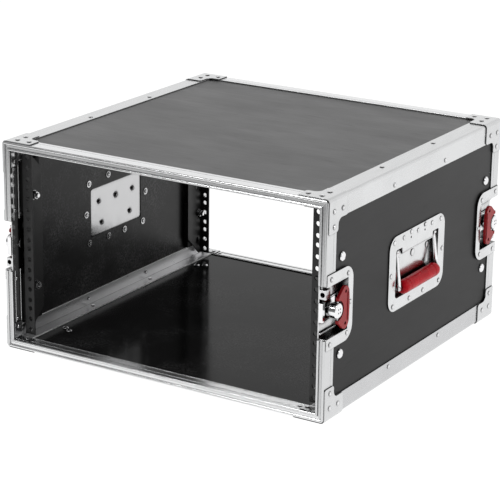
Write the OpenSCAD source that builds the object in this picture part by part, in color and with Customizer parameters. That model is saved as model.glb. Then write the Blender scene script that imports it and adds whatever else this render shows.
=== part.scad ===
// Equipment rack case, 6U, 19-inch, with open front and rear.
// Millimetres. Origin at the bottom centre, X to the right, front towards -Y, Z up.

/* [Case] */
// Width over the corner braces
case_width = 520; // [500:1:560]
// Depth over the front and rear frames
case_depth = 510; // [420:1:640]
// Height over the corner braces
case_height = 304; // [260:1:340]
// Thickness of the plywood panels
panel_t = 9; // [6:0.5:12]
// Thickness of the sheet metal trim
metal_t = 1.5; // [1:0.1:2]

/* [Frames] */
// Depth of the outer leg of the frames
outer_leg = 24.5; // [18:0.5:32]
// Depth of the inner leg of the frames
inner_leg = 21; // [15:0.5:28]
// Leg of the long outer edge angles
edge_leg = 30; // [20:1:40]
// Leg of the small inner angles
inner_angle_leg = 20; // [12:1:24]
// Length of a corner brace along the case
brace_len = 51; // [40:1:70]

/* [Rack] */
// Number of rack units
units = 6; // [6:1:6]
// Distance between the two columns of rack holes
hole_span = 465.1; // [465.1:0.1:465.1]
// Diameter of the rack holes
rack_hole_d = 6.8; // [6:0.1:7.5]
// Distance from the front edge to the front rails
front_setback = 22; // [15:1:60]
// Distance from the rear edge to the rear rails
rear_setback = 32; // [15:1:60]
// Depth of a rail along the case
rail_depth = 40; // [30:1:60]

/* [Latches] */
// Distance from the case edge to the rotor axis
rotor_y = 22; // [20:0.5:24]
// Diameter of the round cap
cap_d = 21; // [18:0.5:22]
// Travel of the hook
hook_travel = 10; // [6:0.5:11]

/* [Handles] */
// Distance from the front edge to the middle of the handle
handle_from_front = 255; // [230:1:290]
// Height of the middle of the handle
handle_z = 153; // [130:1:175]
// Length of the grip
grip_len = 106; // [100:1:106]
// Diameter of the grip
grip_d = 19.5; // [16:0.5:20]

/* [Hidden] */
$fn = 48;
tiny = 0.05;

hw = case_width / 2;
hd = case_depth / 2;
zc = case_height / 2;
trim_x = hw - metal_t;            // outer face of trim and edge angles
pan_x = trim_x - metal_t;         // outer face of the side panels
in_x = pan_x - panel_t;           // inner face of the side panels
top_z = case_height - 2 * metal_t;
ceil_z = top_z - panel_t;
bot_z = 2 * metal_t;
floor_z = bot_z + panel_t;
leg_x = in_x - metal_t;           // inner face of the frame's inner leg
pan_end = hd - 5;                 // panel ends inside the frames

unit_h = 44.45;
web_t = 2;
web_x = hole_span / 2 + 8.75;     // outer face of the rail web
rail_len = units * unit_h + 1.3;
rail_w = 15.9;
bolt_dz = 1.5 * unit_h;
bolt_y = front_setback + 21;
rear_bolt_y = rear_setback + 10;

latch_y1 = 57;                    // rear edge of the recess
latch_h = 35.5;                   // half height of the recess
dish_floor = in_x;                // front surface of the dish floor
hook_y0 = 1.2;
plate_x = hw;                     // face of the latch flange
wing_x = plate_x + 4;             // middle of the folded wing

hy = -hd + handle_from_front;     // middle of the handle along Y
hand_w = 164;
hand_h = 107;
hole_w = 125;
hole_z0 = handle_z - 36;
hole_z1 = handle_z + 24;          // lower edge of the flap over the hinge
rec_z1 = handle_z + 34;           // top of the recess behind the flap
dish_back = 250.5;                // inner surface of the handle dish
hinge_x = 254;
hinge_z = handle_z + 28.5;
arm_y = 55.5;                     // arms of the handle, from its middle
grip_x = 261.5;
grip_z = handle_z - 22.5;

black = [0.10, 0.10, 0.11];
alu = [0.86, 0.87, 0.88];
steel = [0.76, 0.77, 0.79];
chrome = [0.90, 0.90, 0.92];
red = [0.70, 0.10, 0.12];
rail_black = [0.06, 0.06, 0.07];

// ---------- helpers ----------

// flat rectangle with round corners, from (x0, y0) to (x1, y1)
module round_rect(x0, y0, x1, y1, r) {
  translate([x0 + r, y0]) square([x1 - x0 - 2 * r, y1 - y0]);
  translate([x0, y0 + r]) square([x1 - x0, y1 - y0 - 2 * r]);
  for (x = [x0 + r, x1 - r], y = [y0 + r, y1 - r]) translate([x, y]) circle(r);
}

// round rod along X, Y or Z
module rod_x(x0, x1, y, z, r) {
  translate([x0, y, z]) rotate([0, 90, 0]) cylinder(h = x1 - x0, r = r);
}
module rod_y(y0, y1, x, z, r) {
  translate([x, y1, z]) rotate([90, 0, 0]) cylinder(h = y1 - y0, r = r);
}
module rod_z(z0, z1, x, y, r) {
  translate([x, y, z0]) cylinder(h = z1 - z0, r = r);
}

// plate lying in the YZ plane: a flat shape drawn as (y, z), from x0 to x1
module plate_yz(x0, x1) {
  translate([x0, 0, 0]) rotate([90, 0, 90]) linear_extrude(x1 - x0) children();
}

// bar along Y: a flat shape drawn as (x, z), from y0 to y1
module bar_y(y0, y1) {
  translate([0, y1, 0]) rotate([90, 0, 0]) linear_extrude(y1 - y0) children();
}

// low domed head standing on z = 0, with a straight shank below it
module rivet(head_r, head_h, shank) {
  rotate_extrude() polygon([[0, -shank], [1.6, -shank], [1.6, 0], [head_r, 0],
    [head_r, head_h * 0.35], [head_r * 0.82, head_h * 0.75],
    [head_r * 0.5, head_h], [0, head_h]]);
}

// a head pointing along +X, -X, +Z or -Z
module head_at(p, dir) {
  translate(p) rotate(dir == "x" ? [0, 90, 0] : dir == "-x" ? [0, -90, 0]
    : dir == "-z" ? [180, 0, 0] : [0, 0, 0]) children();
}

// the four latch places; the first one is the front latch on the right side
module at_latch(i) {
  translate([0, 0, zc])
    rotate(i == 0 ? [0, 0, 0] : i == 1 ? [180, 0, 0] : i == 2 ? [0, 180, 0] : [0, 0, 180])
      translate([0, -hd, 0]) children();
}

// ---------- rivet places ----------

// side faces of the braces: distance from the case end, height from the nearer face
brace_side = [[15, 18.5], [37, 18.5], [15.5, 39]];
// top faces of the braces: distance from the side, distance from the case end
brace_top = [[18, 14], [38, 14], [17.5, 33]];
// latch flange, from the case edge and from the middle
latch_pts = [[12, 44], [56, 41], [63, 0], [56, -41], [11, -44]];
// handle flange, from its middle
handle_pts = [[-69, -45.5], [-20.5, -46.5], [20.5, -46.5], [69, -45.5], [-69, 45.5],
  [-20.5, 49.5], [20.5, 49.5], [69, 45.5], [-76, 0], [76, 0]];
// long edge angles: places along Y
edge_y = [-75, 75];
// inner legs of the frames
leg_y = hd - 11.3;
top_leg_x = [-218, 218];
side_leg_z = [-110, -50, 50, 110];
// inner corner plates, one rivet in each leg
plate_leg_x = [-(leg_x - 17), leg_x - 17];
plate_leg_z = [-(zc - floor_z - metal_t - 17), zc - floor_z - metal_t - 17];

// pairs of screws in the floor beside the rails
floor_places = [for (sx = [-1, 1], sy = [-1, 1], k = [0, 1])
  [sx * (205 + 11 * k), sy * (180 - 7 * k)]];

module side_holes(r, flip) {
  // blind rivet holes on one side panel, cut from the outside
  for (e = [-1, 1]) {
    for (p = brace_side, s = [-1, 1])
      rod_x(pan_x - 6, hw + 1, e * (hd - p[0]), zc + s * (zc - p[1]), r);
    for (p = latch_pts) rod_x(pan_x - 6, hw + 1, e * (hd - p[0]), zc - e * flip * p[1], r);
    for (z = concat(side_leg_z, plate_leg_z)) rod_x(leg_x - 1, in_x + 5, e * leg_y, zc + z, r);
  }
  for (y = edge_y, s = [-1, 1]) rod_x(in_x - 3, hw + 1, y, zc + s * (zc - 23), r);
  for (p = handle_pts) rod_x(in_x - 1, hw + 1, hy + p[0], handle_z + p[1], r);
}

module rail_bolt_places() {
  for (s = [-1, 1], z = [-bolt_dz, bolt_dz]) {
    translate([0, -hd + bolt_y, zc + z]) scale([s, 1, 1]) children();
    translate([0, hd - rear_bolt_y, zc + z]) scale([s, 1, 1]) children();
  }
}

// ---------- panels ----------

module side_board(flip) {
  difference() {
    translate([in_x, -pan_end, floor_z]) cube([panel_t, 2 * pan_end, ceil_z - floor_z]);
    for (e = [-1, 1])
      translate([in_x - 1, e > 0 ? hd - latch_y1 - 1.5 - tiny : -hd, zc - latch_h - 1.5 - tiny])
        cube([panel_t + 2, latch_y1 + 1.5 + tiny, 2 * (latch_h + 1.5 + tiny)]);
    translate([in_x - 1, hy - hole_w / 2 - 1.5 - tiny, hole_z0 - 1.5 - tiny])
      cube([panel_t + 2, hole_w + 3 + 2 * tiny, rec_z1 - hole_z0 + 3 + 2 * tiny]);
    side_holes(1.65, flip);
    for (z = [-bolt_dz, bolt_dz]) {
      rod_x(in_x - 1, pan_x + 1, -hd + bolt_y, zc + z, 3.05);
      rod_x(in_x - 1, pan_x + 1, hd - rear_bolt_y, zc + z, 3.05);
    }
  }
}

module right_panel() {
  color(black) side_board(1);
}

module left_panel() {
  // the latches on this side are turned over, so their rivet holes are too
  color(black) mirror([1, 0, 0]) side_board(-1);
}

module flat_board() {
  // drawn as the top board; the bottom board is its mirror image
  difference() {
    bar_y(-pan_end, pan_end) difference() {
      translate([-pan_x, ceil_z]) square([2 * pan_x, panel_t]);
      for (s = [-1, 1]) translate([s * pan_x, top_z]) difference() {
        square(5.2, center = true);
        translate([-s * 2.6, -2.6]) circle(2.6);
      }
    }
    for (s = [-1, 1], e = [-1, 1]) {
      for (p = brace_top)
        rod_z(top_z - 6, case_height + 1, s * (hw - p[0]), e * (hd - p[1]), 1.65);
    }
    for (s = [-1, 1], y = edge_y)
      rod_z(ceil_z - 3, case_height, s * (hw - 21.5), y, 1.65);
    for (x = concat(top_leg_x, plate_leg_x), e = [-1, 1])
      rod_z(ceil_z - 1, ceil_z + 5, x, e * leg_y, 1.65);
  }
}

module top_panel() {
  color(black) flat_board();
}

module bottom_panel() {
  color(black) difference() {
    translate([0, 0, case_height]) mirror([0, 0, 1]) flat_board();
    for (p = floor_places) rod_z(floor_z - 7, floor_z + 1, p[0], p[1], 1.65);
  }
}

// ---------- front and rear frames ----------

// section of the frame: u from the outer face inwards, v from the case end
module frame_section() {
  difference() {
    union() {
      translate([0, 2.6]) square([metal_t, outer_leg - 2.6]);
      translate([0, 2.6]) square([4.2, 2.2]);
      translate([2.1, 2.6]) circle(2.1);
      translate([2.1, 2.4]) square([8, 2.2]);
      translate([8.6, 1.5]) square([3.4, 3.1]);
      translate([10.3, 1.7]) circle(1.7);
      translate([12 - metal_t, 1.7]) square([metal_t, inner_leg - 1.7]);
      for (v = [7.4, 18.8]) translate([12, v]) circle(0.55);
    }
    // thin line along the outer leg
    polygon([[-0.2, 17.4], [-0.2, 18.6], [0.35, 18]]);
  }
}

// outline shared by all members, seen from the front, with rounded outer corners
module frame_outline() {
  round_rect(-trim_x, metal_t, trim_x, case_height - metal_t, 4.5);
}

// wedge between the middle of the frame and two of its corners
module mitre(side) {
  c = 15;
  if (side == "top")
    polygon([[-trim_x - 5, case_height - metal_t + 5], [trim_x + 5, case_height - metal_t + 5],
      [trim_x - c, case_height - metal_t - c], [-trim_x + c, case_height - metal_t - c]]);
  if (side == "right")
    polygon([[trim_x + 5, case_height - metal_t + 5], [trim_x + 5, metal_t - 5],
      [trim_x - c, metal_t + c], [trim_x - c, case_height - metal_t - c]]);
}

module front_member_top() {
  difference() {
    intersection() {
      translate([0, -hd, case_height - metal_t]) rotate([0, 90, 0])
        linear_extrude(2 * hw, center = true) frame_section();
      bar_y(-hd - 1, -hd + 40) intersection() {
        mitre("top");
        frame_outline();
      }
    }
    for (x = concat(top_leg_x, plate_leg_x)) rod_z(ceil_z - 3, ceil_z + 1, x, -leg_y, 1.65);
    for (s = [-1, 1], p = brace_top)
      rod_z(top_z - 1, case_height, s * (hw - p[0]), -hd + p[1], 1.65);
  }
}

module front_member_right() {
  difference() {
    intersection() {
      translate([trim_x, -hd, zc]) linear_extrude(2 * hw, center = true)
        mirror([1, 0]) frame_section();
      bar_y(-hd - 1, -hd + 40) intersection() {
        mitre("right");
        frame_outline();
      }
    }
    translate([in_x - 10, -hd - 1, zc - latch_h - 1.5 - tiny])
      cube([30, 60, 2 * (latch_h + 1.5 + tiny)]);
    for (z = concat(side_leg_z, plate_leg_z)) rod_x(leg_x - 2, in_x + 1, -leg_y, zc + z, 1.65);
    for (s = [-1, 1], p = brace_side)
      rod_x(pan_x - 1, hw + 1, -hd + p[0], zc + s * (zc - p[1]), 1.65);
    for (p = latch_pts) rod_x(pan_x - 1, hw + 1, -hd + p[0], zc + p[1], 1.65);
  }
}

module front_trim_top() {
  color(alu) front_member_top();
}
module front_trim_bottom() {
  color(alu) translate([0, 0, case_height]) mirror([0, 0, 1]) front_member_top();
}
module front_trim_right() {
  color(alu) front_member_right();
}
module front_trim_left() {
  color(alu) translate([0, 0, case_height]) rotate([0, 180, 0]) front_member_right();
}
module rear_trim_top() {
  color(alu) mirror([0, 1, 0]) front_member_top();
}
module rear_trim_bottom() {
  color(alu) translate([0, 0, case_height]) rotate([180, 0, 0]) front_member_top();
}
module rear_trim_right() {
  color(alu) translate([0, 0, case_height]) rotate([180, 0, 0]) front_member_right();
}
module rear_trim_left() {
  color(alu) rotate([0, 0, 180]) front_member_right();
}

// ---------- edge angles ----------

// L section with a rounded outer edge; its corner sits at (x, z), legs towards -x and -z
module angle_section(x, z, leg, t, r_out, r_in) {
  difference() {
    round_rect(x - leg, z - leg, x, z, r_out);
    round_rect(x - leg - 20, z - leg - 20, x - t, z - t, r_in);
  }
  // square ends of the legs
  translate([x - leg, z - t]) square([r_out, t]);
  translate([x - t, z - leg]) square([t, r_out]);
}

module edge_angle() {
  // top right edge
  difference() {
    bar_y(-hd + outer_leg, hd - outer_leg)
      angle_section(trim_x, case_height - metal_t, edge_leg - metal_t, metal_t, 4.5, 2.6);
    for (y = edge_y) {
      rod_x(in_x, hw + 1, y, case_height - 23, 1.65);
      rod_z(ceil_z, case_height + 1, hw - 21.5, y, 1.65);
    }
    for (e = [-1, 1]) {
      for (p = brace_side) rod_x(in_x, hw + 1, e * (hd - p[0]), case_height - p[1], 1.65);
      for (p = brace_top) rod_z(ceil_z, case_height + 1, hw - p[0], e * (hd - p[1]), 1.65);
    }
  }
}

module edge_angle_top_right() {
  color(alu) edge_angle();
}
module edge_angle_top_left() {
  color(alu) mirror([1, 0, 0]) edge_angle();
}
module edge_angle_bottom_right() {
  color(alu) translate([0, 0, case_height]) mirror([0, 0, 1]) edge_angle();
}
module edge_angle_bottom_left() {
  color(alu) translate([0, 0, case_height]) rotate([0, 180, 0]) edge_angle();
}

module inner_angle() {
  // top right inside edge
  y0 = -hd + inner_leg + 0.5;
  y1 = hd - inner_leg - 0.5;
  difference() {
    bar_y(y0, y1) difference() {
      translate([in_x - inner_angle_leg, ceil_z - inner_angle_leg])
        square(inner_angle_leg);
      translate([in_x - inner_angle_leg - 1, ceil_z - inner_angle_leg - 1])
        square(inner_angle_leg + 1 - metal_t);
    }
    for (y = edge_y) {
      rod_x(in_x - 4, hw, y, case_height - 23, 1.65);
      rod_z(ceil_z - 4, case_height, hw - 21.5, y, 1.65);
    }
  }
}

module inner_angle_top_right() {
  color(alu) inner_angle();
}
module inner_angle_top_left() {
  color(alu) mirror([1, 0, 0]) inner_angle();
}
module inner_angle_bottom_right() {
  color(alu) translate([0, 0, case_height]) mirror([0, 0, 1]) inner_angle();
}
module inner_angle_bottom_left() {
  color(alu) translate([0, 0, case_height]) rotate([0, 180, 0]) inner_angle();
}

// ---------- corner braces ----------

module corner_brace() {
  // top right front corner: a bent plate with an L on the side and an L on the top
  y0 = -hd + 2.6;
  difference() {
    bar_y(y0, -hd + brace_len)
      angle_section(hw, case_height, 47, metal_t, 6, 4.2);
    // concave cut on the side face
    plate_yz(hw - 10, hw + 1)
      round_rect(-hd + 26, case_height - 80, -hd + 120, case_height - 30, 9);
    // concave cut on the top face
    translate([0, 0, case_height - 10]) linear_extrude(11)
      round_rect(hw - 80, -hd + 26, hw - 29, -hd + 120, 9);
    // rounded ends of the legs
    plate_yz(hw - 10, hw + 1) {
      corner_nick(-hd + brace_len, case_height - 29.9, 1, -1, 4);
      corner_nick(-hd + 26, case_height - 47, 1, -1, 4);
      corner_nick(y0, case_height - 47, -1, -1, 2);
    }
    translate([0, 0, case_height - 10]) linear_extrude(11) {
      corner_nick(hw - 29, -hd + brace_len, -1, 1, 4);
      corner_nick(hw - 47, -hd + 26, -1, 1, 4);
    }
    for (p = brace_side) rod_x(trim_x - 1, hw + 1, -hd + p[0], case_height - p[1], 1.65);
    for (p = brace_top)
      rod_z(case_height - 2.5, case_height + 1, hw - p[0], -hd + p[1], 1.65);
  }
}

// what rounding a corner at (x, y) takes away; (sx, sy) points out of the corner
module corner_nick(x, y, sx, sy, r) {
  translate([x, y]) scale([sx, sy]) difference() {
    translate([-r, -r]) square(r + 1);
    translate([-r, -r]) circle(r);
    translate([-r - 5, -r]) square([5, r + 2]);
    translate([-r, -r - 5]) square([r + 2, 5]);
  }
}

module four_braces() {
  corner_brace();
  mirror([1, 0, 0]) corner_brace();
  translate([0, 0, case_height]) mirror([0, 0, 1]) corner_brace();
  translate([0, 0, case_height]) rotate([0, 180, 0]) corner_brace();
}

module corner_braces_front() {
  color(steel) four_braces();
}
module corner_braces_rear() {
  color(steel) mirror([0, 1, 0]) four_braces();
}

// small plates inside the corners of both openings
module inner_corner_plates() {
  color(steel) for (e = [0, 1], s = [0, 1], t = [0, 1])
    mirror([0, e, 0]) mirror([s, 0, 0]) translate([0, 0, t * case_height]) mirror([0, 0, t])
      difference() {
        bar_y(-hd + 3, -hd + 17.6) difference() {
          translate([leg_x - 24, floor_z + metal_t]) square(24);
          round_rect(leg_x - 34, floor_z + metal_t + 1.2, leg_x - 1.2,
            floor_z + metal_t + 34, 3);
        }
        // grooves over the ribs of the frame
        rod_x(leg_x - 25, leg_x + 1, -hd + 7.4, floor_z + metal_t, 0.65);
        rod_z(floor_z, floor_z + 30, leg_x, -hd + 7.4, 0.65);
        rod_x(leg_x - 2, leg_x + 1, -leg_y, zc + plate_leg_z[0], 1.65);
        rod_z(floor_z, floor_z + 4, plate_leg_x[1], -leg_y, 1.65);
      }
}

// ---------- rack rails ----------

module rail(setback, bolt_from_edge) {
  // front right rail
  y0 = -hd + setback;
  difference() {
    union() {
      translate([web_x - rail_w, y0, zc - rail_len / 2]) cube([rail_w, web_t, rail_len]);
      translate([web_x - web_t, y0, zc - rail_len / 2]) cube([web_t, rail_depth, rail_len]);
    }
    for (u = [0 : units - 1], h = [6.35, 22.225, 38.1])
      rod_y(y0 - 1, y0 + web_t + 1, hole_span / 2,
        zc - units * unit_h / 2 + u * unit_h + h, rack_hole_d / 2);
    // slots in the web, one per unit
    for (u = [0 : units - 1])
      plate_yz(web_x - web_t - 1, web_x + 1)
        translate([y0 + 14, zc - units * unit_h / 2 + (u + 0.5) * unit_h])
          if (u != 1 && u != 4) round_rect(-3, -5, 3, 5, 2.9);
    for (z = [-bolt_dz, bolt_dz])
      rod_x(web_x - web_t - 1, web_x + 1, -hd + bolt_from_edge, zc + z, 3.05);
    // slanted ends of the web
    for (t = [0, 1]) translate([0, 0, t * case_height]) mirror([0, 0, t])
      plate_yz(web_x - web_t - 1, web_x + 1)
        polygon([[y0 + 7, zc - rail_len / 2 - 1], [y0 + rail_depth + 1, zc - rail_len / 2 - 1],
          [y0 + rail_depth + 1, zc - rail_len / 2 + 32]]);
  }
}

module rack_rail_front_right() {
  color(rail_black) rail(front_setback, bolt_y);
}
module rack_rail_front_left() {
  color(rail_black) mirror([1, 0, 0]) rail(front_setback, bolt_y);
}
module rack_rail_rear_right() {
  color(rail_black) mirror([0, 1, 0]) rail(rear_setback, rear_bolt_y);
}
module rack_rail_rear_left() {
  color(rail_black) rotate([0, 0, 180]) rail(rear_setback, rear_bolt_y);
}

module spacer_pair(setback, bolt_from_edge) {
  for (s = [-1, 1]) difference() {
    translate([web_x, -hd + setback + 2, zc + (s > 0 ? 46 : -118)])
      cube([in_x - web_x, rail_depth - 4, 72]);
    rod_x(web_x - 1, in_x + 1, -hd + bolt_from_edge, zc + s * bolt_dz, 3.05);
  }
}

module rail_spacers() {
  color(rail_black) {
    spacer_pair(front_setback, bolt_y);
    mirror([1, 0, 0]) spacer_pair(front_setback, bolt_y);
    mirror([0, 1, 0]) spacer_pair(rear_setback, rear_bolt_y);
    rotate([0, 0, 180]) spacer_pair(rear_setback, rear_bolt_y);
  }
}

module rail_bolts() {
  color(steel) rail_bolt_places() {
    translate([pan_x, 0, 0]) rotate([0, 90, 0]) rotate_extrude()
      polygon([[0, -(pan_x - web_x + web_t + 9.5)], [3, -(pan_x - web_x + web_t + 9.5)],
        [3, 0], [6.7, 0], [6.7, 0.9], [6.1, 2], [4.8, 2.9], [2.8, 3.4], [0, 3.6]]);
  }
}

module rail_nuts() {
  color(steel) rail_bolt_places() difference() {
    union() {
      translate([web_x - web_t - 6.5, 0, 0]) rotate([0, 90, 0])
        cylinder(h = 5.3, r = 5.8, $fn = 6);
      rod_x(web_x - web_t - 1.2, web_x - web_t, 0, 0, 7);
    }
    rod_x(web_x - 20, web_x + 1, 0, 0, 3.03);
  }
}

module floor_screws() {
  color(steel) for (p = floor_places)
    head_at([p[0], p[1], floor_z], "z") difference() {
      rivet(4.4, 2.2, 6);
      translate([0, 0, 1.2]) cylinder(h = 3, r = 1.7, $fn = 6);
    }
}

// ---------- rivets ----------

module face_rivets() {
  color(steel) {
    for (s = [-1, 1], e = [-1, 1], t = [-1, 1]) {
      for (p = brace_side)
        head_at([s * hw, e * (hd - p[0]), zc + t * (zc - p[1])], s > 0 ? "x" : "-x")
          rivet(3.2, 1.2, 8);
    }
    for (s = [-1, 1], e = [-1, 1], p = brace_top)
      head_at([s * (hw - p[0]), e * (hd - p[1]), case_height], "z") rivet(3.2, 1.2, 8);
    // flush rivets under the case
    for (s = [-1, 1], e = [-1, 1], p = brace_top)
      rod_z(0.1, 8.5, s * (hw - p[0]), e * (hd - p[1]), 1.6);
    // long edge angles: through to the inner angles, with a clenched end inside
    for (s = [-1, 1], y = edge_y) {
      for (t = [-1, 1])
        head_at([s * trim_x, y, zc + t * (zc - 23)], s > 0 ? "x" : "-x") long_rivet();
      head_at([s * (hw - 21.5), y, case_height - metal_t], "z") long_rivet();
    }
  }
}

module long_rivet() {
  rivet(3.2, 1.2, 12);
  translate([0, 0, -13.2]) cylinder(h = 1.2, r = 2.7);
}

module trim_rivets() {
  color(steel) {
    for (e = [-1, 1], x = top_leg_x) {
      head_at([x, e * leg_y, ceil_z - metal_t], "-z") rivet(3.2, 1.2, 6);
      head_at([x, e * leg_y, floor_z + metal_t], "z") rivet(3.2, 1.2, 6);
    }
    for (e = [-1, 1], s = [-1, 1], z = side_leg_z)
      head_at([s * leg_x, e * leg_y, zc + z], s > 0 ? "-x" : "x") rivet(3.2, 1.2, 6);
    // corner plates
    for (e = [-1, 1], x = plate_leg_x) {
      head_at([x, e * leg_y, ceil_z - metal_t - 1.2], "-z") rivet(3.2, 1.2, 7.2);
      head_at([x, e * leg_y, floor_z + metal_t + 1.2], "z") rivet(3.2, 1.2, 7.2);
    }
    for (e = [-1, 1], s = [-1, 1], z = plate_leg_z)
      head_at([s * (leg_x - 1.2), e * leg_y, zc + z], s > 0 ? "-x" : "x") rivet(3.2, 1.2, 7.2);
    // bottom edge: from the inner angles down into the floor board
    for (s = [-1, 1], y = edge_y)
      head_at([s * (hw - 21.5), y, floor_z + metal_t], "z") rivet(3.2, 1.2, 11.9);
  }
}

module latch_rivets() {
  color(steel) for (i = [0 : 3]) at_latch(i)
    for (p = latch_pts) head_at([plate_x, p[0], p[1]], "x") rivet(3.1, 1.2, 8);
}

module handle_rivets() {
  color(steel) for (s = [-1, 1], p = handle_pts) {
    head_at([s * trim_x, hy + p[0], handle_z + p[1]], s > 0 ? "x" : "-x")
      rivet(3.1, 1.2, 12.2);
    // washer and clenched end on the inside wall
    head_at([s * in_x, hy + p[0], handle_z + p[1]], s > 0 ? "-x" : "x")
      difference() {
        union() {
          cylinder(h = 0.9, r = 5.2);
          cylinder(h = 1.9, r = 2.6);
        }
        translate([0, 0, 0.95]) difference() {
          cylinder(h = 2, r = 2);
          translate([0, 0, -1]) cylinder(h = 4, r = 1.1);
        }
      }
  }
}

// ---------- latches ----------

// drawn at the front right place: y from the case edge, z from the middle of the case
module latch_dish_body() {
  difference() {
    union() {
      // flange over the trim, and thicker where it lies on the panel
      plate_yz(trim_x, plate_x) flange_shape(2.6);
      plate_yz(pan_x, trim_x) flange_shape(outer_leg + 0.1);
      // box behind the flange
      translate([leg_x, 2.6, -latch_h - 1.5])
        cube([plate_x - leg_x, latch_y1 + 1.5 - 2.6, 2 * latch_h + 3]);
    }
    translate([dish_floor, -1, -latch_h]) cube([30, latch_y1 + 1, 2 * latch_h]);
    // hole for the rotor
    rod_x(leg_x - 1, dish_floor + 1, rotor_y, 0, 4);
    for (p = latch_pts) rod_x(pan_x - 1, plate_x + 1, p[0], p[1], 1.65);
  }
  // locating socket that faces the lid
  difference() {
    translate([dish_floor - 0.5, 2.6, 18.2]) cube([9.5, 12.4, 12.5]);
    rod_y(1, 13, dish_floor + 4.6, 24.4, 3.4);
  }
  // bracket between the socket and the wall of the recess
  translate([dish_floor - 0.5, 4, 30.2]) cube([4, 9, 5.6]);
  // guides on both sides of the hook strap
  for (s = [-1, 1]) translate([dish_floor - 0.5, 8, s > 0 ? 13.05 : -15.05])
    cube([2.2, 38, 2]);
  // raised bars across the recess floor near its ends
  translate([dish_floor - 0.5, 3, -30]) cube([3, 40, 2.2]);
  translate([dish_floor - 0.5, 46, -16]) cube([2.5, 6, 32]);
}

module flange_shape(y0) {
  difference() {
    union() {
      round_rect(20, -51, 70, 51, 20);
      translate([y0, -51]) square([40 - y0, 102]);
    }
    translate([-60, -70]) square([60 + y0, 140]);
  }
}

module latch_rotor_body() {
  // shaft through the dish floor, held by a washer behind it
  difference() {
    union() {
      rod_x(leg_x - 1.8, wing_x - 4, rotor_y, 0, 3.95);
      rod_x(leg_x - 1.8, leg_x - 0.1, rotor_y, 0, 7);
      // round cap with a softly domed face
      translate([dish_floor + 2.4, rotor_y, 0]) rotate([0, 90, 0]) rotate_extrude()
        polygon([[0, 0], [9.2, 0], [9.2, 5], [cap_d / 2, 6.5], [cap_d / 2, 14.6],
          [cap_d / 2 - 0.5, 15.6], [cap_d / 2 - 1.8, 16.4], [cap_d / 2 - 4, 16.8],
          [0, 17]]);
      // cross pin that carries the wing
      rod_z(-16, 16, wing_x, rotor_y, 1.25);
    }
    // four small dimples in the cap
    for (y = [-2.4, 2.4], z = [-2.4, 2.4])
      rod_x(dish_floor + 18.4, dish_floor + 20, rotor_y + y, z, 1.1);
  }
}

module latch_hook_body() {
  x0 = dish_floor + 0.05;
  difference() {
    union() {
      translate([x0, hook_y0, -13]) cube([2, 40 - hook_y0, 26]);
      // nose that grips the lid
      translate([x0, hook_y0, -13]) cube([6, 2.6, 26]);
      translate([x0 + 4, hook_y0, -13]) cube([2, 5.4, 26]);
    }
    // long slot around the rotor shaft
    plate_yz(x0 - 1, x0 + 3)
      round_rect(rotor_y - 4, -4, rotor_y + 4 + hook_travel, 4, 3.99);
  }
}

module latch_wing_body() {
  translate([0, rotor_y, 0]) difference() {
    union() {
      plate_yz(wing_x - 2, wing_x + 2) difference() {
        wing_shape();
        for (s = [-1, 1]) translate([18.2, s * 21.8]) circle(2.3);
      }
      // bosses around the cross pin
      for (s = [-1, 1]) rod_z(s > 0 ? 13.3 : -17.4, s > 0 ? 17.4 : -13.3, wing_x, 0, 2.6);
      // raised rib along the outer edge
      plate_yz(wing_x + 1.9, wing_x + 2.8) round_rect(23.4, -19.5, 26.2, 19.5, 1.3);
    }
    for (s = [-1, 1])
      rod_z(s > 0 ? 10 : -16.2, s > 0 ? 16.2 : -10, wing_x, 0, 1.3);
    // clearance for the hub
    rod_x(wing_x - 4, wing_x + 4, 0, 0, 13.2);
  }
}

module wing_shape() {
  polygon([[-2, 10], [-2, 15.7], [10.5, 26], [13.5, 28.2], [17, 29.2], [21, 28.4],
    [24.6, 25.8], [27, 21.8], [28.2, 12], [28.6, 0], [28.2, -12], [27, -21.8],
    [24.6, -25.8], [21, -28.4], [17, -29.2], [13.5, -28.2], [10.5, -26],
    [-2, -15.7], [-2, -10]]);
}

module latch_dish_front_right() { color(chrome) at_latch(0) latch_dish_body(); }
module latch_dish_rear_right() { color(chrome) at_latch(1) latch_dish_body(); }
module latch_dish_front_left() { color(chrome) at_latch(2) latch_dish_body(); }
module latch_dish_rear_left() { color(chrome) at_latch(3) latch_dish_body(); }

module latch_rotor_front_right() { color(chrome) at_latch(0) latch_rotor_body(); }
module latch_rotor_rear_right() { color(chrome) at_latch(1) latch_rotor_body(); }
module latch_rotor_front_left() { color(chrome) at_latch(2) latch_rotor_body(); }
module latch_rotor_rear_left() { color(chrome) at_latch(3) latch_rotor_body(); }

module latch_hook_front_right() { color(chrome) at_latch(0) latch_hook_body(); }
module latch_hook_rear_right() { color(chrome) at_latch(1) latch_hook_body(); }
module latch_hook_front_left() { color(chrome) at_latch(2) latch_hook_body(); }
module latch_hook_rear_left() { color(chrome) at_latch(3) latch_hook_body(); }

module latch_wing_front_right() { color(red) at_latch(0) latch_wing_body(); }
module latch_wing_rear_right() { color(red) at_latch(1) latch_wing_body(); }
module latch_wing_front_left() { color(red) at_latch(2) latch_wing_body(); }
module latch_wing_rear_left() { color(red) at_latch(3) latch_wing_body(); }

// ---------- handles ----------

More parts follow.
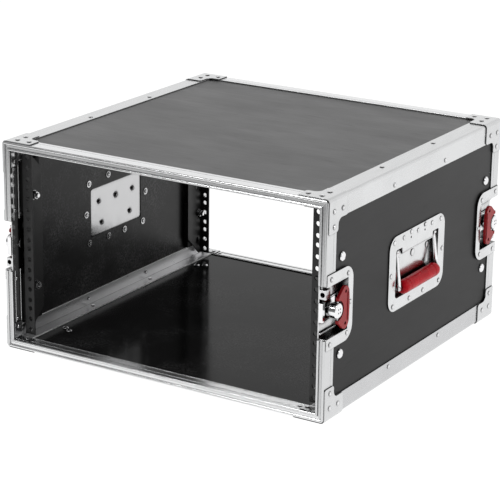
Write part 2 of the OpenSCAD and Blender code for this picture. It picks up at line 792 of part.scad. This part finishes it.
// drawn on the right side; the left handle is its mirror image
module handle_dish_body() {
  difference() {
    union() {
      plate_yz(pan_x, trim_x)
        round_rect(hy - hand_w / 2, handle_z - hand_h / 2, hy + hand_w / 2,
          handle_z + hand_h / 2, 19);
      plate_yz(dish_back - 1.5, trim_x)
        round_rect(hy - hole_w / 2 - 1.5, hole_z0 - 1.5, hy + hole_w / 2 + 1.5,
          rec_z1 + 1.5, 7.5);
    }
    plate_yz(dish_back, pan_x)
      round_rect(hy - hole_w / 2, hole_z0, hy + hole_w / 2, rec_z1, 6);
    plate_yz(pan_x - 0.5, trim_x + 5) handle_opening();
    // small blind holes under the upper rivets
    for (y = [-20.5, 20.5]) rod_x(trim_x - 1, trim_x + 5, hy + y, handle_z + 41.5, 1.6);
    for (p = handle_pts) rod_x(pan_x - 1, hw + 1, hy + p[0], handle_z + p[1], 1.65);
    // seats of the hinge pin in the end walls
    rod_y(hy - hole_w / 2 - 3, hy + hole_w / 2 + 3, hinge_x, hinge_z, 1.77);
  }
  // rolled lower edge of the flap
  rod_y(hy - 44, hy + 44, trim_x - 0.45, hole_z1 + 0.8, 0.95);
  // three raised bosses in the upper band
  for (y = [-42, 0, 42]) translate([trim_x - 0.2, hy + y, handle_z + 46]) rotate([0, 90, 0])
    rotate_extrude() polygon([[0, 0], [3, 0], [3, 0.6], [2.5, 1.05], [1.5, 1.35], [0, 1.4]]);
  // five bolts through the back, three above and two below
  for (y = [-43, 0, 43]) handle_back_bolt(hy + y, handle_z + 13, y == 0 ? 4.6 : 3.8);
  for (y = [-36, 36]) handle_back_bolt(hy + y, handle_z - 21, 3.8);
}

// opening in the flange, higher at both ends where the arms turn
module handle_opening() {
  translate([hy, 0]) {
    round_rect(-hole_w / 2 - 0.4, hole_z0 - 0.4, hole_w / 2 + 0.4, hole_z1, 6);
    for (s = [-1, 1]) scale([s, 1])
      round_rect(45, hole_z1 - 14, hole_w / 2 + 0.4, rec_z1 - 0.8, 2.5);
  }
}

module handle_back_bolt(y, z, r) {
  rod_x(dish_back - 2.4, dish_back + 0.9, y, z, r);
  translate([dish_back - 4.4, y, z]) rotate([0, 90, 0]) cylinder(h = 3, r = r * 0.62, $fn = 6);
}

module handle_bail_body() {
  tilt = atan2(grip_x - hinge_x, hinge_z - grip_z);
  arm_l = norm([grip_x - hinge_x, hinge_z - grip_z]);
  for (s = [-1, 1]) translate([0, hy + s * arm_y, 0]) difference() {
    union() {
      // eye around the pin and a round arm down to the grip
      rod_y(-2.7, 2.7, hinge_x, hinge_z, 3.4);
      translate([hinge_x, 0, hinge_z]) rotate([0, 180 - tilt, 0]) cylinder(h = arm_l, r = 2.5);
    }
    rod_y(-4, 4, hinge_x, hinge_z, 1.8);
  }
  // steel rod inside the grip
  rod_y(hy - arm_y - 2.8, hy + arm_y + 2.8, grip_x, grip_z, 3);
}

module handle_grip_body() {
  translate([grip_x, hy, grip_z]) rotate([90, 0, 0]) difference() {
    rotate_extrude() grip_half();
    cylinder(h = grip_len + 2, r = 3, center = true);
  }
}

module grip_half() {
  r = grip_d / 2;
  l = grip_len / 2;
  end = [[0, l], [r * 0.42, l], [r * 0.64, l - 0.9], [r * 0.82, l - 2.6], [r * 0.94, l - 5.2],
    [r, l - 8.6], [r, l - 15], [r - 0.5, l - 15.8], [r - 0.5, l - 16.6], [r - 0.15, l - 17.2]];
  n = len(end);
  polygon(concat(end, [for (i = [n - 1 : -1 : 0]) [end[i][0], -end[i][1]]]));
}

module handle_dish_right() { color(chrome) handle_dish_body(); }
module handle_dish_left() { color(chrome) mirror([1, 0, 0]) handle_dish_body(); }
module handle_bail_right() { color(chrome) handle_bail_body(); }
module handle_bail_left() { color(chrome) mirror([1, 0, 0]) handle_bail_body(); }
module handle_grip_right() { color(red) handle_grip_body(); }
module handle_grip_left() { color(red) mirror([1, 0, 0]) handle_grip_body(); }

module handle_pins() {
  color(steel) for (s = [-1, 1])
    rod_y(hy - hole_w / 2 - 1.4, hy + hole_w / 2 + 1.4, s * hinge_x, hinge_z, 1.75);
}

module handle_springs() {
  // wound spring on each half of the pin, as touching rings with a short tail
  color(steel) for (s = [-1, 1], e = [-1, 1])
    translate([s * hinge_x, hy + e * 32, hinge_z]) {
      rotate([90, 0, 0]) for (k = [-6 : 6])
        translate([0, 0, k * 0.95]) rotate_extrude() translate([2.4, 0]) circle(0.55, $fn = 24);
      translate([s > 0 ? -3.3 : 2.1, -0.7, -9]) cube([1.2, 1.4, 10]);
    }
}

// ---------- output ----------

top_panel();
bottom_panel();
left_panel();
right_panel();
front_trim_top();
front_trim_bottom();
front_trim_left();
front_trim_right();
rear_trim_top();
rear_trim_bottom();
rear_trim_left();
rear_trim_right();
edge_angle_top_left();
edge_angle_top_right();
edge_angle_bottom_left();
edge_angle_bottom_right();
inner_angle_top_left();
inner_angle_top_right();
inner_angle_bottom_left();
inner_angle_bottom_right();
corner_braces_front();
corner_braces_rear();
inner_corner_plates();
rack_rail_front_left();
rack_rail_front_right();
rack_rail_rear_left();
rack_rail_rear_right();
rail_spacers();
rail_bolts();
rail_nuts();
floor_screws();
face_rivets();
trim_rivets();
latch_rivets();
handle_rivets();
latch_dish_front_right();
latch_dish_rear_right();
latch_dish_front_left();
latch_dish_rear_left();
latch_rotor_front_right();
latch_rotor_rear_right();
latch_rotor_front_left();
latch_rotor_rear_left();
latch_hook_front_right();
latch_hook_rear_right();
latch_hook_front_left();
latch_hook_rear_left();
latch_wing_front_right();
latch_wing_rear_right();
latch_wing_front_left();
latch_wing_rear_left();
handle_dish_left();
handle_dish_right();
handle_bail_left();
handle_bail_right();
handle_grip_left();
handle_grip_right();
handle_pins();
handle_springs();
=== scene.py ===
"""Looks for the equipment rack case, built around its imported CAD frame."""

import math

import bpy
from mathutils import Matrix, Vector


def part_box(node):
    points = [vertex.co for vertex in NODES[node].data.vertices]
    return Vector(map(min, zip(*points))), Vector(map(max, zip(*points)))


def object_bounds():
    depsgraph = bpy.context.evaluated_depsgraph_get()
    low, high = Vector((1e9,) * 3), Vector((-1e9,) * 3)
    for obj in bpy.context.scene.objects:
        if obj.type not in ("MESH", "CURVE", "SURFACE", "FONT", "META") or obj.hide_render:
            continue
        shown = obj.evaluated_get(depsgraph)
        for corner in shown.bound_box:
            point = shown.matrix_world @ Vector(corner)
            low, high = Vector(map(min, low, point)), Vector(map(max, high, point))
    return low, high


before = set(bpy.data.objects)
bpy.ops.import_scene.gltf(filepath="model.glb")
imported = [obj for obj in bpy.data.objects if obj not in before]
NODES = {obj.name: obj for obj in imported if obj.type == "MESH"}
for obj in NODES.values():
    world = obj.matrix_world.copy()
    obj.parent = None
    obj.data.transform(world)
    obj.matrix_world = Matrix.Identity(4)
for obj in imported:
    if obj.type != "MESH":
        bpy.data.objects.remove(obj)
cad_lo, cad_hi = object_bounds()
MM = 0.001
scene = bpy.context.scene
scene.view_settings.view_transform = "Standard"
scene.view_settings.look = "None"


# ---------- places on the case, taken from its CAD ----------

board_lo, board_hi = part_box("right_panel")
# halfway through the thickness of the side boards, and halfway up them
SIDE_MIDDLE = (board_lo[0] + board_hi[0]) / 2
MID_HEIGHT = (board_lo[2] + board_hi[2]) / 2

angle_lo, angle_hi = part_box("inner_angle_bottom_right")
# the cut edges of the inner angles' two legs, and the leg that lies flat
UPRIGHT_LEG_END = MID_HEIGHT - angle_hi[2] + 1.1 * MM
FLAT_LEG_END = angle_lo[0] + 1.1 * MM
FLAT_LEG_FACE = MID_HEIGHT - angle_lo[2] - 2 * MM

dish_lo, dish_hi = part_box("handle_dish_right")
# the inner ends of the dish's bolts, its back, and the holes in its flange
DISH_BOLT_ENDS = dish_lo[0] + 2.5 * MM
DISH_BACK = dish_lo[0] + 3.6 * MM
FLANGE_HOLE_FLOOR = dish_hi[0] - 1.7 * MM
FLANGE_HOLE_FOOT = dish_hi[2] - 16.5 * MM


# ---------- camera ----------

CAMERA_AZIMUTH = math.radians(31.53)
CAMERA_ELEVATION = math.radians(17.93)
CAMERA_ROLL = math.radians(0.764)
CAMERA_PLACE = (1.4338, -2.3556, 1.0156)
CAMERA_LENS = 144.46
CAMERA_SENSOR = 36
CAMERA_REACH = 200


def make_camera():
    data = bpy.data.cameras.new("camera")
    cam = bpy.data.objects.new("camera", data)
    scene.collection.objects.link(cam)
    back = Vector(
        (
            math.sin(CAMERA_AZIMUTH) * math.cos(CAMERA_ELEVATION),
            -math.cos(CAMERA_AZIMUTH) * math.cos(CAMERA_ELEVATION),
            math.sin(CAMERA_ELEVATION),
        )
    )
    level_right = (-back).cross(Vector((0, 0, 1))).normalized()
    level_up = back.cross(level_right)
    right = level_right * math.cos(CAMERA_ROLL) + level_up * math.sin(CAMERA_ROLL)
    up = level_up * math.cos(CAMERA_ROLL) - level_right * math.sin(CAMERA_ROLL)
    turn = Matrix((right, up, back)).transposed().to_4x4()
    cam.matrix_world = Matrix.Translation(CAMERA_PLACE) @ turn
    data.sensor_width = CAMERA_SENSOR
    data.lens = CAMERA_LENS
    data.clip_end = CAMERA_REACH
    scene.camera = cam


make_camera()


# ---------- materials ----------

# how far either side of a place one look gives way to the next
BLEND = 0.3 * MM
# the middle part of a noise, spread over the whole range
WIDE = (0.3, 0.7)
NARROW = (0.35, 0.65)


def grey(value, blue=1.03):
    """A grey that leans a little towards blue."""
    return (value, value, value * blue)


def scaled(tint, factor):
    return tuple(c * factor for c in tint)


def grain(along, lengthwise, across):
    """The scale of a pattern that runs along one axis."""
    return tuple(lengthwise if i == along else across for i in range(3))


class Mat:
    """A node material under construction."""

    def __init__(self, name, tint, metallic=0.0, rough=0.5, coat=0.0, spec=0.5):
        self.material = bpy.data.materials.new(name)
        self.material.use_nodes = True
        self.tree = self.material.node_tree
        self.shader = self.tree.nodes["Principled BSDF"]
        self.metallic = self.shader.inputs["Metallic"]
        self.base = self.shader.inputs["Base Color"]
        self.base.default_value = (*tint, 1)
        self.metallic.default_value = metallic
        self.shader.inputs["Roughness"].default_value = rough
        self.shader.inputs["Coat Weight"].default_value = coat
        self.shader.inputs["Coat Roughness"].default_value = 0.1
        self.shader.inputs["Specular IOR Level"].default_value = spec
        self.material.diffuse_color = (*tint, 1)
        self.coord = self.tree.nodes.new("ShaderNodeTexCoord").outputs["Object"]
        self.normal = None

    def node(self, kind, **inputs):
        n = self.tree.nodes.new(kind)
        for key, value in inputs.items():
            n.inputs[key.replace("_", " ")].default_value = value
        return n

    def link(self, a, b):
        self.tree.links.new(a, b)

    def noise(self, scale, size=(1, 1, 1), detail=4.0, rough=0.55):
        stretch = self.node("ShaderNodeMapping", Scale=size)
        self.link(self.coord, stretch.inputs["Vector"])
        n = self.node("ShaderNodeTexNoise", Scale=scale, Detail=detail, Roughness=rough)
        self.link(stretch.outputs["Vector"], n.inputs["Vector"])
        return n.outputs["Fac"]

    def scratches(self, scale, size, cut):
        """Sparse thin marks: 1 on a mark, 0 elsewhere."""
        n = self.noise(scale, size, detail=2.0, rough=0.4)
        return self.ramp(n, (cut, cut + 0.05), (0.0, 1.0))

    def ramp(self, value, source, target):
        """Carries a value from one range to another and stops at its ends."""
        n = self.node("ShaderNodeMapRange")
        n.inputs["From Min"].default_value, n.inputs["From Max"].default_value = source
        n.inputs["To Min"].default_value, n.inputs["To Max"].default_value = target
        self.link(value, n.inputs["Value"])
        return n.outputs["Result"]

    def math(self, operation, a, b=0.0):
        n = self.node("ShaderNodeMath")
        n.operation = operation
        for socket, value in zip(n.inputs, (a, b)):
            if isinstance(value, (int, float)):
                socket.default_value = value
            else:
                self.link(value, socket)
        return n.outputs["Value"]

    def total(self, first, *others):
        for other in others:
            first = self.math("ADD", first, other)
        return first

    def mix(self, share, a, b):
        """Colour a where the share is 0, colour b where it is 1."""
        n = self.node("ShaderNodeMix")
        n.data_type = "RGBA"
        for key, tint in (("A", a), ("B", b)):
            socket = [s for s in n.inputs if s.name == key and s.type == "RGBA"][0]
            if isinstance(tint, tuple):
                socket.default_value = (*tint, 1)
            else:
                self.link(tint, socket)
        self.link(share, n.inputs["Factor"])
        return [s for s in n.outputs if s.type == "RGBA"][0]

    def crevice(self, reach, inside=False):
        """Ambient occlusion, used for painted shade: 1 in the open, falling towards 0 where
        surfaces meet within reach.

        From the inside it falls towards 0 near the part's own edges.
        """
        n = self.node("ShaderNodeAmbientOcclusion", Distance=reach)
        n.samples = 6
        n.inside = inside
        return n.outputs["AO"]

    def color(self, share, a, b, painted_shade=0.0, reach=3 * MM, span=(0.52, 0.90), painted_shade_tint=None):
        """Sets a mix of two colours as the base, with painted shade in the crevices.

        The painted shade has the given tint, or else a darker shade of colour a.
        """
        out = self.mix(share, a, b)
        if painted_shade:
            open_part = self.ramp(self.crevice(reach), span, (0.0, 1.0))
            if painted_shade_tint is None:
                painted_shade_tint = scaled(a, 1 - painted_shade) if isinstance(a, tuple) else (0.03,) * 3
            out = self.mix(open_part, painted_shade_tint, out)
        self.link(out, self.base)
        return out

    def position(self):
        """The distance from the middle plane to either side, then Y, then the height."""
        parts = self.node("ShaderNodeSeparateXYZ")
        self.link(self.coord, parts.inputs[0])
        away = self.math("ABSOLUTE", parts.outputs["X"])
        return away, parts.outputs["Y"], parts.outputs["Z"]

    def above(self, value, at):
        """0 below a value, 1 above it."""
        return self.ramp(value, (at - BLEND, at + BLEND), (0.0, 1.0))

    def below(self, value, at):
        """1 below a value, 0 above it."""
        return self.ramp(value, (at - BLEND, at + BLEND), (1.0, 0.0))

    def rough(self, value):
        self.link(value, self.shader.inputs["Roughness"])

    def set_normal(self, socket):
        self.normal = socket
        self.link(socket, self.shader.inputs["Normal"])

    def soften(self, radius):
        """Rounds the look of sharp edges by this radius."""
        n = self.node("ShaderNodeBevel", Radius=radius)
        n.samples = 4
        self.set_normal(n.outputs["Normal"])

    def bump(self, value, strength, distance):
        n = self.node("ShaderNodeBump", Strength=strength, Distance=distance)
        self.link(value, n.inputs["Height"])
        if self.normal:
            self.link(self.normal, n.inputs["Normal"])
        self.set_normal(n.outputs["Normal"])


def laminate(name, along, base, gloss, spec, streaks=0.06, fade=None, scuffs=0.0, inner=None):
    """Black laminate with a fine grain along one axis, haze and small scuffs.

    A side board is one piece with two faces: inner gives the base and gloss of
    the one towards the inside, which then has the scuffs to itself.
    """
    m = Mat(name, grey(base), rough=gloss, spec=spec)
    streak = m.noise(22.0, grain(along, 1.0, 14.0), detail=6.0)
    haze = m.noise(9.0, grain(along, 1.0, 2.4), detail=5.0)
    marks = m.scratches(60.0, grain(along, 0.4, 5.0), 0.70)
    tone = m.ramp(streak, WIDE, (0.0, 1.0))
    low, high = base * 0.85, base * 1.2
    dark, bright, painted_shade_tint = grey(low), grey(high, 1.02), None
    if fade:
        # painted light: the outside is lighter towards the top of the panel
        low, high = base * 0.35, base * 4.2
        height = m.ramp(m.position()[2], fade, (0.0, 1.0))
        lightness_share = m.total(m.math("MULTIPLY", tone, 0.25), m.math("MULTIPLY", height, 0.75))
        dark, bright = grey(low), grey(high, 1.02)
    else:
        lightness_share = tone
    share = lightness_share
    if inner:
        in_base, in_gloss = inner
        away = m.position()[0]
        bright = m.mix(lightness_share, dark, bright)
        dark = m.mix(tone, grey(in_base * 0.85), grey(in_base * 1.2, 1.02))
        # the painted shade in the crevices of the inside is near black
        painted_shade_tint = (in_base * 0.08,) * 3
        share = m.above(away, SIDE_MIDDLE)
    # darker where surfaces meet: painted shade
    out = m.color(share, dark, bright, painted_shade=0.9, reach=5 * MM, span=(0.70, 0.98), painted_shade_tint=painted_shade_tint)
    if scuffs:
        # worn patches with dusty specks in them
        patch = m.ramp(m.noise(8.0, detail=5.0, rough=0.65), (0.44, 0.62), (0.0, 1.0))
        speck = m.ramp(m.noise(330.0, rough=0.7), (0.47, 0.60), (0.06, 1.0))
        worn = m.math("MULTIPLY", patch, speck)
        if inner:
            worn = m.math("MULTIPLY", worn, m.ramp(share, (0.0, 1.0), (1.0, 0.0)))
        m.link(m.mix(worn, out, grey(scuffs, 1.02)), m.base)
    roughness = m.total(
        m.ramp(haze, WIDE, (gloss - 0.03, gloss + 0.04)),
        m.ramp(streak, WIDE, (-streaks / 3, streaks / 3)),
        m.math("MULTIPLY", marks, streaks),
    )
    if inner:
        roughness = m.total(roughness, m.ramp(share, (0.0, 1.0), (in_gloss - gloss, 0.0)))
    m.rough(roughness)
    m.bump(streak, streaks, 0.3 * MM)
    m.bump(m.noise(1400.0, detail=2.0), 0.05, 0.1 * MM)
    return m.material


def side_board(name, base, spec):
    """A side board: an outside painted lighter towards the top, and a scuffed inside."""
    return laminate(
        name, 1, base, 0.34, spec, fade=(0.05, 0.28), scuffs=0.10, inner=(0.008, 0.30)
    )


def drawn_metal(name, along, tint, rough, painted_dimming=None, reach=2.2 * MM):
    """Bright metal with fine lines along one axis.

    Given a share, it becomes the metal of the inner angles, with painted shade that darkens it
    to that share of its tint.
    """
    m = Mat(name, tint, metallic=1.0, rough=rough)
    lines = m.noise(900.0, grain(along, 0.03, 1.0), detail=3.0)
    cloud = m.noise(14.0)
    dark, light = scaled(tint, 0.93), tint
    if painted_dimming:
        # painted shade: darker towards the front, and darker still on the legs that lie flat
        away, y, z = m.position()
        half = m.math("ABSOLUTE", m.math("SUBTRACT", z, MID_HEIGHT))
        rear = m.ramp(y, (-0.22, 0.24), (0.0, 1.0))
        flat = m.above(half, FLAT_LEG_FACE)
        dimmed = scaled(tint, painted_dimming)
        shade = m.mix(flat, m.mix(rear, dimmed, tint), m.mix(rear, scaled(dimmed, 0.50), dimmed))
        # the cut edges are painted a matt white that is not metal: a painted highlight
        leg = m.math("MINIMUM", m.above(half, UPRIGHT_LEG_END), m.above(away, FLAT_LEG_END))
        light = m.mix(leg, (1.0, 1.0, 1.0), shade)
        dark = m.mix(leg, (0.95, 0.95, 0.95), shade)
        m.link(leg, m.metallic)
    blotch = m.ramp(cloud, NARROW, (0.0, 1.0))
    # painted shade in the crevices, left off on the inner angles
    m.color(blotch, dark, light, painted_shade=0.0 if painted_dimming else 0.9, reach=reach)
    m.rough(
        m.total(
            m.ramp(lines, WIDE, (rough - 0.05, rough + 0.05)),
            m.ramp(cloud, WIDE, (-0.03, 0.04)),
        )
    )
    m.soften(0.5 * MM)
    m.bump(lines, 0.08, 0.06 * MM)
    return m.material


def pressed_metal(name, tint, rough, wavy=0.18, reach=3 * MM, handle_dish=False, rim=None):
    """Zinc-plated pressed steel: soft cloudy sheen with fine dents."""
    m = Mat(name, tint, metallic=1.0, rough=rough)
    cloud = m.noise(40.0, detail=5.0)
    dark, light = scaled(tint, 0.93), tint
    if handle_dish:
        # a darker back towards the middle of the case, with darker bolts on it
        away, _, z = m.position()
        bolts = m.above(away, DISH_BOLT_ENDS)
        front = m.above(away, DISH_BACK)
        # the floors of small holes in the upper band of the flange are painted near black, a
        # painted shade
        low_down = m.below(away, FLANGE_HOLE_FLOOR)
        hole = m.math("MINIMUM", low_down, m.above(z, FLANGE_HOLE_FOOT))

        def on_dish(shade):
            plate = m.mix(bolts, (0.20,) * 3, m.mix(front, (0.55, 0.55, 0.555), shade))
            return m.mix(hole, plate, (0.02,) * 3)

        dark, light = on_dish(dark), on_dish(light)
    if rim:
        # painted shade: heads are painted darker towards their edge
        middle = m.ramp(m.crevice(rim, inside=True), (0.45, 0.85), (0.0, 1.0))
        light = m.mix(middle, scaled(tint, 0.30), light)
    blotch = m.ramp(cloud, NARROW, (0.0, 1.0))
    # painted shade in the crevices
    m.color(blotch, dark, light, painted_shade=0.94, reach=reach, span=(0.68, 0.97))
    m.rough(m.ramp(cloud, WIDE, (max(0.03, rough - 0.05), rough + 0.06)))
    m.soften(0.5 * MM)
    m.bump(m.noise(55.0, detail=2.0), wavy, 0.4 * MM)
    m.bump(m.noise(1500.0, detail=2.0), 0.04, 0.1 * MM)
    return m.material


def powder(name, base, rough, spec=0.4):
    """A black coat with a fine grit."""
    m = Mat(name, (base,) * 3, rough=rough, spec=spec)
    grit = m.noise(1600.0, detail=2.0)
    cloud = m.noise(60.0, detail=3.0)
    m.color(m.ramp(grit, WIDE, (0.0, 1.0)), (base * 0.7,) * 3, (base * 1.4,) * 3)
    m.rough(m.ramp(cloud, WIDE, (rough - 0.06, rough + 0.06)))
    m.soften(0.6 * MM)
    m.bump(grit, 0.3, 0.15 * MM)
    return m.material


def plastic(name, tint, rough, spec, coat):
    """Moulded plastic, slightly cloudy, with a fine skin."""
    m = Mat(name, tint, rough=rough, coat=coat, spec=spec)
    cloud = m.noise(70.0)
    grit = m.noise(1800.0, detail=2.0)
    share = m.ramp(cloud, WIDE, (0.0, 1.0))
    # painted shade in the crevices
    m.color(share, scaled(tint, 0.86), scaled(tint, 1.12), painted_shade=0.75, reach=5 * MM)
    m.rough(m.ramp(cloud, WIDE, (rough - 0.05, rough + 0.08)))
    m.soften(0.7 * MM)
    m.bump(grit, 0.12, 0.1 * MM)
    return m.material


M_TOP = laminate("laminate_top", 0, 0.030, 0.40, 0.72, streaks=0.10)
# the two boards are one laminate: the left one's outside is painted darker, a painted shade
# that offsets its higher specular level
M_RIGHT = side_board("laminate_right", 0.0060, 0.15)
M_LEFT = side_board("laminate_left", 0.0030, 0.26)
M_FLOOR = laminate("laminate_floor", 1, 0.007, 0.13, 0.05, streaks=0.05, scuffs=0.05)
# one aluminium in five tints, lit and shaded copies: painted light and shade, darkest on the
# lower edge angles
M_ALU_X = drawn_metal("aluminium_x", 0, (0.80, 0.805, 0.81), 0.20)
M_ALU_Y = drawn_metal("aluminium_y", 1, (0.70, 0.705, 0.71), 0.28)
M_ALU_Y_LOW = drawn_metal("aluminium_y_lower", 1, (0.585, 0.588, 0.595), 0.28)
M_ALU_Y_IN = drawn_metal("aluminium_y_inside", 1, (0.97, 0.97, 0.98), 0.32, painted_dimming=0.45)
M_ALU_Z = drawn_metal("aluminium_z", 2, (0.66, 0.665, 0.67), 0.18, reach=4 * MM)
M_ZINC = pressed_metal("zinc_plate", (0.67, 0.675, 0.68), 0.22)
M_RIVET = pressed_metal(
    "rivet_steel", (0.86, 0.86, 0.87), 0.14, wavy=0.05, reach=2.6 * MM, rim=1.6 * MM
)
M_DISH = pressed_metal("dish_plate", (0.72, 0.725, 0.73), 0.16, reach=6 * MM, handle_dish=True)
M_LATCH = pressed_metal("latch_plate", (0.72, 0.725, 0.73), 0.16, reach=12 * MM)
M_CHROME = pressed_metal("chrome_plate", (0.90, 0.90, 0.91), 0.06, wavy=0.08, reach=6 * MM)
M_RAIL = powder("powder_coat", 0.014, 0.40)
M_BATTEN = powder("painted_batten", 0.006, 0.6, spec=0.25)
M_GRIP = plastic("red_grip", (0.41, 0.004, 0.011), 0.24, spec=0.09, coat=0.02)
M_WING = plastic("red_wing", (0.28, 0.004, 0.007), 0.32, spec=0.24, coat=0.05)

WHOLE_NAMES = {
    "top_panel": M_TOP,
    "bottom_panel": M_FLOOR,
    "right_panel": M_RIGHT,
    "left_panel": M_LEFT,
}

# the first match decides
NAME_PARTS = [
    (("rivet", "floor_screws", "rail_bolts", "rail_nuts"), M_RIVET),
    (("trim_top", "trim_bottom"), M_ALU_X),
    (("trim_left", "trim_right"), M_ALU_Z),
    (("inner_angle",), M_ALU_Y_IN),
    (("edge_angle_bottom",), M_ALU_Y_LOW),
    (("edge_angle",), M_ALU_Y),
    (("latch_dish",), M_LATCH),
    (("handle_dish",), M_DISH),
    (("bail", "rotor", "hook"), M_CHROME),
    (("wing",), M_WING),
    (("grip",), M_GRIP),
    (("rack_rail",), M_RAIL),
    (("spacer",), M_BATTEN),
]


def material_for(name):
    if name in WHOLE_NAMES:
        return WHOLE_NAMES[name]
    for parts, material in NAME_PARTS:
        if any(part in name for part in parts):
            return material
    return M_ZINC


def dress(name, obj):
    """Gives a CAD node its material."""
    material = material_for(name)
    if obj.material_slots:
        for slot in obj.material_slots:
            slot.material = material
    else:
        obj.data.materials.append(material)


for node_name, node_obj in NODES.items():
    dress(node_name, node_obj)


# ---------- floor, lights and sky ----------

# brightness of the room in front and of its ceiling, against 1 behind the case
FRONT_DIM = 0.16
CEILING = 0.30
FLOOR_HALF = 40.0


def make_stage():
    """A bright sweep around the case that turns grey well in front of it."""
    mesh = bpy.data.meshes.new("floor")
    s, z = FLOOR_HALF, cad_lo[2]
    mesh.from_pydata([(-s, -s, z), (s, -s, z), (s, s, z), (-s, s, z)], [], [(0, 1, 2, 3)])
    floor = bpy.data.objects.new("floor", mesh)
    scene.collection.objects.link(floor)
    m = Mat("floor_white", (0.12, 0.12, 0.12), rough=0.7, spec=0.0)
    parts = m.node("ShaderNodeSeparateXYZ")
    m.link(m.coord, parts.inputs[0])
    # distance towards the front and a little to the right, where the room is dim
    ahead = m.total(
        m.math("MULTIPLY", parts.outputs["Y"], -0.92),
        m.math("MULTIPLY", parts.outputs["X"], 0.10),
    )
    fade = m.ramp(ahead, (0.72, 1.05), (1.0, FRONT_DIM))
    glow = m.mix(fade, (0.0, 0.0, 0.0), (1.0, 1.0, 1.0))
    m.link(glow, m.shader.inputs["Emission Color"])
    m.shader.inputs["Emission Strength"].default_value = 1.0
    mesh.materials.append(m.material)


def area_light(name, place, target, size, power):
    data = bpy.data.lights.new(name, "AREA")
    data.shape = "RECTANGLE"
    data.size, data.size_y = size
    data.energy = power
    lamp = bpy.data.objects.new(name, data)
    lamp.location = place
    aim = Vector(target) - Vector(place)
    lamp.rotation_euler = aim.to_track_quat("-Z", "Y").to_euler()
    scene.collection.objects.link(lamp)


def make_sky():
    """A bright rear half, a dim side in front and a grey ceiling."""
    world = bpy.data.worlds.new("studio")
    scene.world = world
    world.use_nodes = True
    tree = world.node_tree
    background = tree.nodes["Background"]
    coord = tree.nodes.new("ShaderNodeTexCoord").outputs["Generated"]
    parts = tree.nodes.new("ShaderNodeSeparateXYZ")
    tree.links.new(coord, parts.inputs[0])

    def soft_ramp(value, source, target):
        n = tree.nodes.new("ShaderNodeMapRange")
        n.interpolation_type = "SMOOTHSTEP"
        n.inputs["From Min"].default_value, n.inputs["From Max"].default_value = source
        n.inputs["To Min"].default_value, n.inputs["To Max"].default_value = target
        tree.links.new(value, n.inputs["Value"])
        return n.outputs["Result"]

    rise = soft_ramp(parts.outputs["Z"], (0.42, 0.85), (1.0, CEILING))
    front = soft_ramp(parts.outputs["Y"], (-0.75, -0.15), (FRONT_DIM, 1.0))
    product = tree.nodes.new("ShaderNodeMath")
    product.operation = "MULTIPLY"
    tree.links.new(rise, product.inputs[0])
    tree.links.new(front, product.inputs[1])
    tree.links.new(product.outputs["Value"], background.inputs["Strength"])
    background.inputs["Color"].default_value = (1, 1, 1, 1)


make_stage()
make_sky()
area_light("key", (-1.0, -1.9, 2.3), (0, 0, 0.15), (0.9, 0.9), 22)
area_light("side", (2.6, -0.4, 1.9), (0.1, 0, 0.15), (0.9, 0.9), 18)
